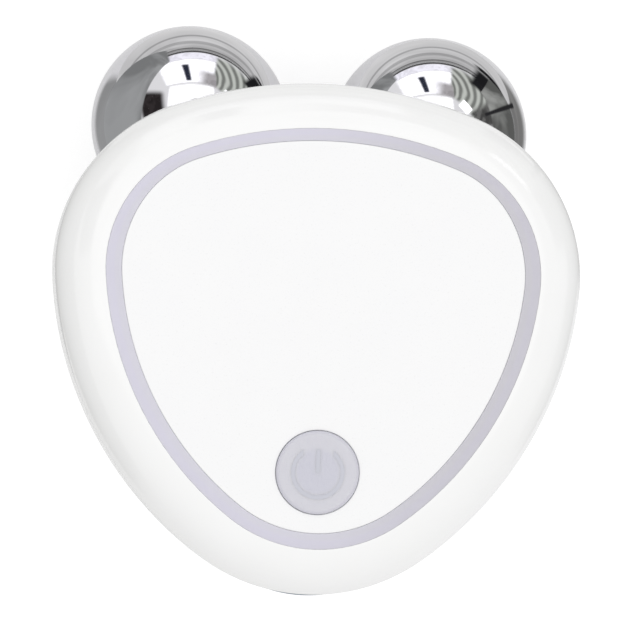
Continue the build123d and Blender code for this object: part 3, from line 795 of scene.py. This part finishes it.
@dataclass
class FacePlate:
    """Flat plate inside the light ring, with a hole for the button and fine softened edges."""

    finishes: Finishes
    outline: Outline
    button: PowerButton
    inset: float = 7.735 * MM
    thickness: float = 1.2 * MM
    edge: float = 0.14 * MM
    edge_segments: int = 6
    land: float = 0.5 * MM
    hole_gap: float = 0.04 * MM
    hole_edge: float = 0.12 * MM
    hole_steps: int = 128

    def edge_profile(
        self, bm: BMesh, outer: float, direction: float, top: float, radius: float
    ) -> list:
        """Edge of the plate as a wire from the top land round to the bottom land.

        Args:
            bm: The empty mesh that takes the wire.
            outer: Where the edge stands, along +Y.
            direction: 1 where the plate lies on the -Y side of the edge, -1 on the other.
            top: Height of the top face.
            radius: Radius of the softened top edge.

        Returns:
            The wire's vertices and edges.
        """
        inner = outer - direction * self.land
        low = top - self.thickness
        points = [(0.0, inner, top), (0.0, outer, top), (0.0, outer, low), (0.0, inner, low)]
        corner = wire(bm, points, closed=False)[1]
        soften(bm, [corner], radius, self.edge_segments, Soften.CORNERS)
        return bm.verts[:] + bm.edges[:]

    def hole(self, top: float) -> bpy.types.Mesh:
        """Edge of the plate all round the button.

        Args:
            top: Height of the top face.

        Returns:
            The edge as a mesh of its own.
        """
        middle = self.button.centre()[1]
        bm = bmesh.new()
        outer = middle + self.button.radius + self.hole_gap
        edge = self.edge_profile(bm, outer, -1.0, top, self.hole_edge)
        spin(bm, edge, (0.0, middle, 0.0), Z_AXIS, FULL_TURN, self.hole_steps)
        bmesh.ops.remove_doubles(bm, verts=bm.verts, dist=WELD)
        mesh = bpy.data.meshes.new("hole_edge")
        bm.to_mesh(mesh)
        bm.free()
        return mesh

    def build(self) -> None:
        """Sweep the outer edge, add the hole's edge and fill the two flat faces between them."""
        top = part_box("face_plate")[1][2]
        bm = bmesh.new()
        outer = self.outline.head_y - self.inset
        self.outline.sweep(bm, self.edge_profile(bm, outer, 1.0, top, self.edge))
        hole = self.hole(top)
        bm.from_mesh(hole)
        bpy.data.meshes.remove(hole)
        for height in (top, top - self.thickness):
            border = [
                edge for edge in bm.edges
                if edge.is_boundary and abs(edge.verts[0].co.z - height) < SEAM_WELD
            ]
            bmesh.ops.triangle_fill(bm, use_beauty=True, use_dissolve=False, edges=border)
        for vert in bm.verts:
            vert.co.y += self.outline.head_shift(vert.co.y)
        piece = finished(bm, "face_plate_cover")
        self.finishes.dress(piece, "face_white", Body.HANDSET, "face_plate")


# --- Roller balls ---
@dataclass
class RollerBall:
    """Hollow chromed ball with a mouth for its bush."""

    finishes: Finishes
    side: Side
    wall: float = 1.2 * MM
    mouth: float = 4.3 * MM
    rings: int = 96
    lining_rings: int = 32
    steps: int = 192

    def axle(self) -> tuple[Vector, Vector]:
        """Where the ball turns.

        Returns:
            Its centre and the outward direction of its axle.
        """
        name = f"{self.side.value}_roller_spin"
        joint = next(j for j in frame["joints"] if j["name"] == name)
        return Vector(joint["pos_m"]), Vector(joint["axis"]).normalized()

    def meridian(self, bm: BMesh, radius: float, steps: int) -> bmesh.types.BMVert:
        """Half circle from the pole to the edge of the mouth.

        Args:
            bm: The mesh that takes it.
            radius: Radius of the sphere it lies on.
            steps: Straight stretches along it.

        Returns:
            Its last point, at the mouth.
        """
        pole = bm.verts.new((0.0, 0.0, radius))
        angle = math.pi - math.asin(self.mouth / radius)
        end = spin(bm, [pole], (0.0, 0.0, 0.0), X_AXIS, angle, steps)
        return next(item for item in end if isinstance(item, bmesh.types.BMVert))

    def build(self) -> None:
        """Spin the ball's section about its axle."""
        name = f"{self.side.value}_ball"
        low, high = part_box(name)
        radius = (high[2] - low[2]) / 2
        bm = bmesh.new()
        outer_rim = self.meridian(bm, radius, self.rings)
        inner_rim = self.meridian(bm, radius - self.wall, self.lining_rings)
        bm.edges.new((outer_rim, inner_rim))
        section = bm.verts[:] + bm.edges[:]
        spin(bm, section, (0.0, 0.0, 0.0), Z_AXIS, FULL_TURN, self.steps)
        bmesh.ops.remove_doubles(bm, verts=bm.verts, dist=WELD)
        centre, outward = self.axle()
        turn = Vector(Z_AXIS).rotation_difference(outward).to_matrix().to_4x4()
        bmesh.ops.transform(bm, matrix=Matrix.Translation(centre) @ turn, verts=bm.verts)
        body = Body(f"{self.side.value}_roller")
        self.finishes.dress(finished(bm, f"{name}_shell"), "ball_chrome", body, name)


# --- Charging port ---
@dataclass
class PortBezel:
    """Rounded bezel round the charging socket, draped over the curve of the tip."""

    finishes: Finishes
    width: float = 13.0 * MM
    height: float = 5.8 * MM
    opening_width: float = 9.3 * MM
    opening_height: float = 3.52 * MM
    depth: float = 3.4 * MM
    edge: float = 0.16 * MM
    edge_segments: int = 6
    end_share: float = 0.999
    end_segments: int = 14
    straight_from: float = 1.0 * MM
    straight_cuts: int = 15
    proud: float = 0.30 * MM
    front_radius: float = 17.0 * MM
    lean: float = 0.02
    sharp: float = 50.0

    def slot(self, bm: BMesh, width: float, height: float, y: float, z: float) -> None:
        """Wire of a slot with round ends, facing along Y.

        Args:
            bm: The mesh that takes the wire.
            width: Overall width.
            height: Overall height.
            y: Where it stands.
            z: Height of its middle.
        """
        side, foot, top = width / 2, z - height / 2, z + height / 2
        corners = [(-side, y, foot), (side, y, foot), (side, y, top), (-side, y, top)]
        radius = height / 2 * self.end_share
        for corner in wire(bm, corners, closed=True)[:4]:
            soften(bm, [corner], radius, self.end_segments, Soften.CORNERS)

    def drape(self, x: float, z: float, middle: float) -> float:
        """How far the front of the bezel falls back from its foremost point.

        Args:
            x: Place across the bezel.
            z: Height of the place.
            middle: Height of the bezel's middle.

        Returns:
            The distance, in metres.
        """
        sideways = self.front_radius - math.sqrt(self.front_radius**2 - x**2)
        top = middle + self.height / 2
        return sideways + self.lean * (top - z)

    def build(self) -> None:
        """Bridge the two slots, extrude them, soften the front and lay it on the tip."""
        low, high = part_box("port_bezel")
        z = (low[2] + high[2]) / 2
        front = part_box("front_shell")[0][1] - self.proud
        back = front + self.depth
        bm = bmesh.new()
        self.slot(bm, self.width, self.height, back, z)
        self.slot(bm, self.opening_width, self.opening_height, back, z)
        straight = [edge for edge in bm.edges if edge.calc_length() > self.straight_from]
        bmesh.ops.subdivide_edges(bm, edges=straight, cuts=self.straight_cuts, use_grid_fill=False)
        bmesh.ops.bridge_loops(bm, edges=bm.edges[:])
        pushed = bmesh.ops.extrude_face_region(bm, geom=bm.faces[:], use_keep_orig=True)["geom"]
        moved = [item for item in pushed if isinstance(item, bmesh.types.BMVert)]
        bmesh.ops.translate(bm, vec=(0.0, front - back, 0.0), verts=moved)
        ahead = {item for item in pushed if isinstance(item, bmesh.types.BMFace)}
        lip = [
            item for item in pushed
            if isinstance(item, bmesh.types.BMEdge)
            and len(ahead.intersection(item.link_faces)) == 1
        ]
        soften(bm, lip, self.edge, self.edge_segments, Soften.EDGES)
        for vert in bm.verts:
            share = (back - vert.co.y) / self.depth
            vert.co.y += share * self.drape(vert.co.x, vert.co.z, z)
        piece = finished(bm, "port_bezel_surround", self.sharp)
        self.finishes.dress(piece, "bezel_blue", Body.HANDSET, "port_bezel")


# --- Studio ---
@dataclass(frozen=True)
class Viewpoint:
    """Camera above the face, a little to the left of it."""

    yaw: float = -6.81
    pitch: float = -0.84
    roll: float = 2.18
    distance: float = 400 * MM
    target: Point = (-0.40 * MM, -1.54 * MM, 34.5 * MM)
    focal_pixels: float = 3320.0
    frame_pixels: float = 640.0
    sensor: float = 36.0
    nearest: float = 0.01

    def build(self) -> None:
        """Place the camera and make it the scene's own."""
        yaw, pitch, roll = (math.radians(a) for a in (self.yaw, self.pitch, self.roll))
        back = Vector(
            (math.sin(yaw) * math.cos(pitch), math.sin(pitch), math.cos(yaw) * math.cos(pitch))
        )
        right = (-back).cross(Vector((0, 1, 0))).normalized()
        up = right.cross(-back)
        across = right * math.cos(roll) + up * math.sin(roll)
        upward = up * math.cos(roll) - right * math.sin(roll)
        camera = bpy.data.cameras.new("camera")
        camera.sensor_width = self.sensor
        camera.lens = self.focal_pixels / self.frame_pixels * self.sensor
        camera.clip_start = self.nearest
        holder = hang("camera", camera)
        turn = Matrix((across, upward, back)).transposed().to_4x4()
        place = Matrix.Translation(Vector(self.target) + back * self.distance)
        holder.matrix_world = place @ turn
        bpy.context.scene.camera = holder


@dataclass(frozen=True)
class SoftLight:
    """One large soft lamp, aimed at the middle of the device."""

    name: str
    place: Point
    size: Span
    power: float
    colour: Colour = WHITE
    target: Point = (0.0, 0.0, 0.02)

    def build(self) -> None:
        """Hang the lamp, which the chrome doesn't mirror."""
        lamp = bpy.data.lights.new(self.name, "AREA")
        lamp.shape = "RECTANGLE"
        lamp.size, lamp.size_y = self.size
        lamp.energy = self.power
        lamp.color = self.colour
        holder = hang(self.name, lamp)
        turn = (Vector(self.place) - Vector(self.target)).to_track_quat("Z", "Y").to_matrix()
        holder.matrix_world = Matrix.Translation(self.place) @ turn.to_4x4()
        holder.visible_glossy = False


@dataclass(frozen=True)
class Pattern:
    """Streaks that break up the glow of a card."""

    kind: str
    source: str
    scale: float
    distortion: float
    detail: float
    contrast: Span
    offset: Point = (0.0, 0.0, 0.0)
    settings: Options = ()

    def share(self, tree: Tree) -> Socket:
        """Lay the pattern out in a material.

        Args:
            tree: Node tree that takes the nodes.

        Returns:
            0 in the dim streaks and 1 in the bright ones.
        """
        source = coordinate(tree, self.source)
        place = add_node(tree, "Mapping", Vector=source, Location=self.offset)
        streaks = add_node(
            tree, self.kind, settings=self.settings, Vector=place.outputs["Vector"],
            Scale=self.scale, Distortion=self.distortion, Detail=self.detail,
        )
        return remap(tree, streaks.outputs["Fac"], self.contrast)


CREASED_PAPER = Pattern("TexNoise", "Object", 14.0, 1.2, 4.0, (0.42, 0.58))
CURVED_FOLDS = Pattern(
    "TexWave", "UV", 8.0 * math.pi / 10, 2.2, 1.0, (0.10, 0.90), (0.35, -0.75, 0.0),
    (("wave_type", "RINGS"), ("rings_direction", "Z")),
)


@dataclass(frozen=True)
class Card:
    """Upright or lying studio card that the chrome mirrors, out of the camera's sight."""

    name: str
    corner: Point
    along: Point
    up: Point
    glow: Colour
    dim: float = 0.9
    fade: Span = (0.06, 0.10)
    pattern: Pattern = CREASED_PAPER
    bright: float = 1.1

    def build(self) -> None:
        """Stand the card up, from one corner along two of its edges."""
        bm = bmesh.new()
        bm.loops.layers.uv.new("card")
        bmesh.ops.create_grid(bm, x_segments=1, y_segments=1, size=0.5, calc_uvs=True)
        bmesh.ops.translate(bm, vec=(0.5, 0.5, 0.0), verts=bm.verts)
        across, upward = Vector(self.along), Vector(self.up)
        facing = across.cross(upward).normalized()
        turn = Matrix((across, upward, facing)).transposed().to_4x4()
        bmesh.ops.transform(bm, matrix=Matrix.Translation(self.corner) @ turn, verts=bm.verts)
        piece = finished(bm, self.name)
        piece.data.materials.append(self.material())
        piece.visible_camera = False
        piece.visible_diffuse = False
        piece.visible_shadow = False

    def material(self) -> bpy.types.Material:
        """Soft-edged glow with streaks of its pattern.

        Returns:
            The material of the card.
        """
        material = bare_material(self.name)
        tree = material.node_tree
        dim, bright = opaque(self.glow, self.dim), opaque(self.glow, self.bright)
        shade = mix_colours(tree, self.pattern.share(tree), dim, bright)
        glow = add_node(tree, "Emission", Color=shade).outputs[0]
        clear = add_node(tree, "BsdfTransparent").outputs[0]
        card = add_node(tree, "MixShader", self.cover(tree), clear, glow)
        add_node(tree, "OutputMaterial", Surface=card.outputs[0])
        return material

    def cover(self, tree: Tree) -> Socket:
        """How solid the card is.

        Args:
            tree: Node tree that takes the nodes.

        Returns:
            1 all over, fading to 0 along the edges.
        """
        axes = add_node(tree, "SeparateXYZ", coordinate(tree, "UV"))
        shares = []
        for axis, fade in zip(("X", "Y"), self.fade):
            aside = calculate(tree, "SUBTRACT", axes.outputs[axis], 0.5)
            distance = calculate(tree, "ABSOLUTE", aside)
            solid_from = 0.5 - max(fade, THINNEST_FADE)
            shares.append(remap(tree, distance, (0.5, solid_from), smooth=True))
        return calculate(tree, "MULTIPLY", *shares)


@dataclass(frozen=True)
class SweepBand:
    """Band of the pale sweep across the studio, which fades out over the next one."""

    start: float
    end: float
    tone: float
    width: float = 1.1
    soft: float = 0.03
    height: float = 1.8 * MM
    drop: float = 0.12 * MM
    warmth: float = 0.985

    def card(self, index: int) -> Card:
        """The band as a card just above the floor, a little lower than the one before it.

        Args:
            index: Place in the row, counted from the device.

        Returns:
            The card.
        """
        near_fade, far_fade = self.soft * self.start, self.soft * self.end
        near = self.start - near_fade / 2 - far_fade
        length = self.end + far_fade / 2 - near
        corner = (-self.width / 2, near, self.height - self.drop * index)
        glow = (self.tone, self.tone, self.warmth * self.tone)
        return Card(
            f"sweep_{index}", corner, (self.width, 0.0, 0.0), (0.0, length, 0.0), glow,
            fade=(0.0, far_fade / length),
        )


# From, to and brightness, towards the head.
SWEEP: tuple[SweepBand, ...] = (
    SweepBand(44.0 * MM, 57.0 * MM, 0.80),
    SweepBand(57.0 * MM, 61.5 * MM, 0.50),
    SweepBand(61.5 * MM, 80.0 * MM, 0.80),
    SweepBand(80.0 * MM, 100.0 * MM, 0.52),
    SweepBand(100.0 * MM, 128.0 * MM, 0.72),
    SweepBand(128.0 * MM, 180.0 * MM, 0.60),
    SweepBand(180.0 * MM, 240.0 * MM, 0.22),
    SweepBand(240.0 * MM, 430.0 * MM, 0.42),
)
# Name, one corner, the two edges from it and the glow, then what differs from the usual card.
CARDS: tuple[Card, ...] = (
    Card(
        "horizon_dark", (-0.60, 0.442, 0.0), (1.2, 0.0, 0.0), (0.0, 0.0, 0.028),
        (0.10, 0.10, 0.10), fade=(0.0, 0.22),
    ),
    Card(
        "backdrop_pale", (-0.42, 0.63, 0.026), (0.66, 0.0, 0.0), (0.0, -0.02, 0.11),
        (1.20, 1.19, 1.27),
    ),
    Card(
        "softbox_head", (-0.42, 0.61, 0.13), (0.66, 0.0, 0.0), (0.0, -0.10, 0.36),
        (1.8, 1.8, 1.84), fade=(0.10, 0.06),
    ),
    Card(
        "softbox_above", (-0.45, -0.12, 0.75), (0.75, 0.0, 0.0), (0.0, 0.75, -0.15),
        (1.7, 1.7, 1.7),
    ),
    Card(
        "upright_dark", (-0.134, 0.50, 0.168), (0.084, 0.0, 0.0), (0.012, 0.0, 0.28),
        (0.035, 0.04, 0.065), fade=(0.30, 0.10),
    ),
    Card(
        "grey_fall", (-0.02, 0.49, 0.22), (0.34, -0.04, 0.0), (0.0, -0.06, 0.24),
        (0.50, 0.48, 0.485), fade=(0.40, 0.30),
    ),
    Card(
        "near_left", (-0.0330, -0.020, 0.0006), (-0.030, 0.022, 0.0), (0.0, 0.056, 0.0),
        (0.36, 0.365, 0.36), fade=(0.18, 0.12),
    ),
    Card(
        "near_right", (0.0330, 0.000, 0.0006), (0.042, 0.0, 0.0), (0.0, 0.062, 0.0),
        (0.34, 0.34, 0.328), 0.7, (0.24, 0.16),
    ),
    Card(
        "shade_right", (0.260, 0.205, 0.0), (0.055, -0.155, 0.0), (0.0, 0.0, 0.30),
        (0.17, 0.17, 0.162), 0.5, (0.30, 0.20),
    ),
    Card(
        "grey_side", (-0.0470, -0.060, 0.0), (-0.008, 0.205, 0.0), (-0.004, 0.0, 0.040),
        (0.39, 0.40, 0.395), 0.66, (0.10, 0.04),
    ),
    Card(
        "dark_left", (-0.4277, 0.0055, 0.2315), (0.006, 0.245, -0.135), (0.190, 0.018, 0.199),
        (0.040, 0.034, 0.034), 0.7, (0.20, 0.22),
    ),
    Card(
        "drape", (0.125, 0.500, 0.0), (0.40, -0.36, 0.0), (0.03, -0.03, 0.46),
        (0.66, 0.69, 0.63), 0.40, (0.08, 0.16), CURVED_FOLDS,
    ),
    Card(
        "dark_right", (0.0545, 0.0875, 0.0), (0.041, -0.0275, 0.0), (0.0, 0.002, 0.042),
        (0.018, 0.018, 0.020), fade=(0.18, 0.18),
    ),
    Card(
        "dark_foot", (0.0390, 0.0700, 0.002), (0.036, -0.0235, 0.0), (0.0182, 0.0178, 0.0),
        (0.018, 0.018, 0.020), fade=(0.18, 0.24),
    ),
    Card(
        "side_right", (0.0600, -0.040, 0.0), (0.010, 0.125, 0.0), (0.004, 0.0, 0.040),
        (0.40, 0.41, 0.385), 0.35, (0.10, 0.10),
    ),
    Card(
        "window", (0.275, 0.355, 0.33), (0.10, -0.10, 0.0), (-0.03, -0.03, 0.11),
        (2.6, 2.6, 2.6), fade=(0.14, 0.14),
    ),
    Card(
        "rod", (0.0500, 0.0390, 0.0), (0.0026, -0.0026, 0.0), (0.001, 0.0005, 0.040),
        (0.03, 0.03, 0.032), fade=(0.34, 0.06),
    ),
) + tuple(band.card(index) for index, band in enumerate(SWEEP))


@dataclass
class Studio:
    """Pale floor, white surround, soft lamps and mirrored cards."""

    floor_size: float = 3.0
    floor_colour: Colour = (0.88, 0.88, 0.88)
    dark_colour: Colour = (0.50, 0.495, 0.485)
    dark_to_pale: Span = (-45.0 * MM, -35.0 * MM)
    floor_shown: Span = (0.36, 0.74)
    floor_mirrored: Span = (0.62, 0.27)
    surround: float = 0.765
    lamps: tuple[SoftLight, ...] = field(
        default_factory=lambda: (
            SoftLight("overhead", (0.12, 0.05, 0.95), (0.55, 0.55), 0.35),
            SoftLight("right_fill", (0.85, 0.05, 0.60), (0.50, 0.60), 0.95),
            SoftLight("left_fill", (-0.85, 0.05, 0.62), (0.50, 0.60), 1.00),
            SoftLight("head_fill", (-0.10, 0.85, 0.60), (0.60, 0.45), 1.15),
            SoftLight("tip_fill", (0.05, -0.85, 0.60), (0.60, 0.45), 0.90),
        )
    )

    def seen(self, tree: Tree) -> Socket:
        """1 for what the camera sees, also through a clear surface, and 0 for any other ray."""
        path = add_node(tree, "LightPath").outputs
        return calculate(tree, "MAXIMUM", path["Is Camera Ray"], path["Is Transmission Ray"])

    def mirrored(self, tree: Tree) -> Socket:
        """1 for what a polished surface mirrors, and 0 for any other ray."""
        return add_node(tree, "LightPath").outputs["Is Glossy Ray"]

    def tone(self, tree: Tree, share: float, glow: float) -> Socket:
        """White that is partly lit, so that it keeps shadows, and partly glows.

        Args:
            tree: Node tree that takes the nodes.
            share: Albedo of the lit part.
            glow: Strength of the glowing part.

        Returns:
            The shader's socket.
        """
        lit = add_node(tree, "BsdfDiffuse", Color=opaque(WHITE, share)).outputs[0]
        glowing = add_node(tree, "Emission", Strength=glow).outputs[0]
        return add_node(tree, "AddShader", lit, glowing).outputs[0]

    def floor(self) -> None:
        """Lay the floor, which shows white, keeps the device's shadow and is darker to its left."""
        bm = bmesh.new()
        bmesh.ops.create_grid(bm, x_segments=1, y_segments=1, size=self.floor_size / 2)
        piece = finished(bm, "floor")
        material = bare_material("pale_floor")
        tree = material.node_tree
        axes = add_node(tree, "SeparateXYZ", coordinate(tree, "Object"))
        reach = remap(tree, axes.outputs["X"], self.dark_to_pale)
        bounce = mix_colours(tree, reach, opaque(self.dark_colour), opaque(self.floor_colour))
        matt = add_node(tree, "BsdfDiffuse", Color=bounce).outputs[0]
        mirror = self.tone(tree, *self.floor_mirrored)
        unseen = add_node(tree, "MixShader", self.mirrored(tree), matt, mirror).outputs[0]
        shown = self.tone(tree, *self.floor_shown)
        whole = add_node(tree, "MixShader", self.seen(tree), unseen, shown).outputs[0]
        add_node(tree, "OutputMaterial", Surface=whole)
        piece.data.materials.append(material)

    def world(self) -> None:
        """White where it is seen, and a soft even light on everything else."""
        world = bpy.data.worlds.new("surround")
        bpy.context.scene.world = world
        world.use_nodes = True
        tree = world.node_tree
        light = tree.nodes["Background"]
        fill(tree, light, Color=opaque(WHITE), Strength=self.surround)
        shown = add_node(tree, "Background", Color=opaque(WHITE), Strength=1.0).outputs[0]
        direct = calculate(tree, "MAXIMUM", self.seen(tree), self.mirrored(tree))
        mixed = add_node(tree, "MixShader", direct, light.outputs[0], shown).outputs[0]
        fill(tree, tree.nodes["World Output"], Surface=mixed)

    def build(self) -> None:
        """Set the studio up."""
        bpy.context.scene.view_settings.view_transform = "Standard"
        self.floor()
        self.world()
        for item in self.lamps + CARDS:
            item.build()
        log.info("studio has %d lamps and %d cards", len(self.lamps), len(CARDS))


def main() -> None:
    """Build the studio and every piece, in order."""
    Viewpoint().build()
    Studio().build()
    finishes = Finishes()
    finishes.dress_frame()
    outline = Outline()
    button = PowerButton(finishes)
    LightRing(finishes, outline).build()
    FacePlate(finishes, outline, button).build()
    button.build()
    for side in Side:
        RollerBall(finishes, side).build()
    PortBezel(finishes).build()


if __name__ == "__main__":
    main()
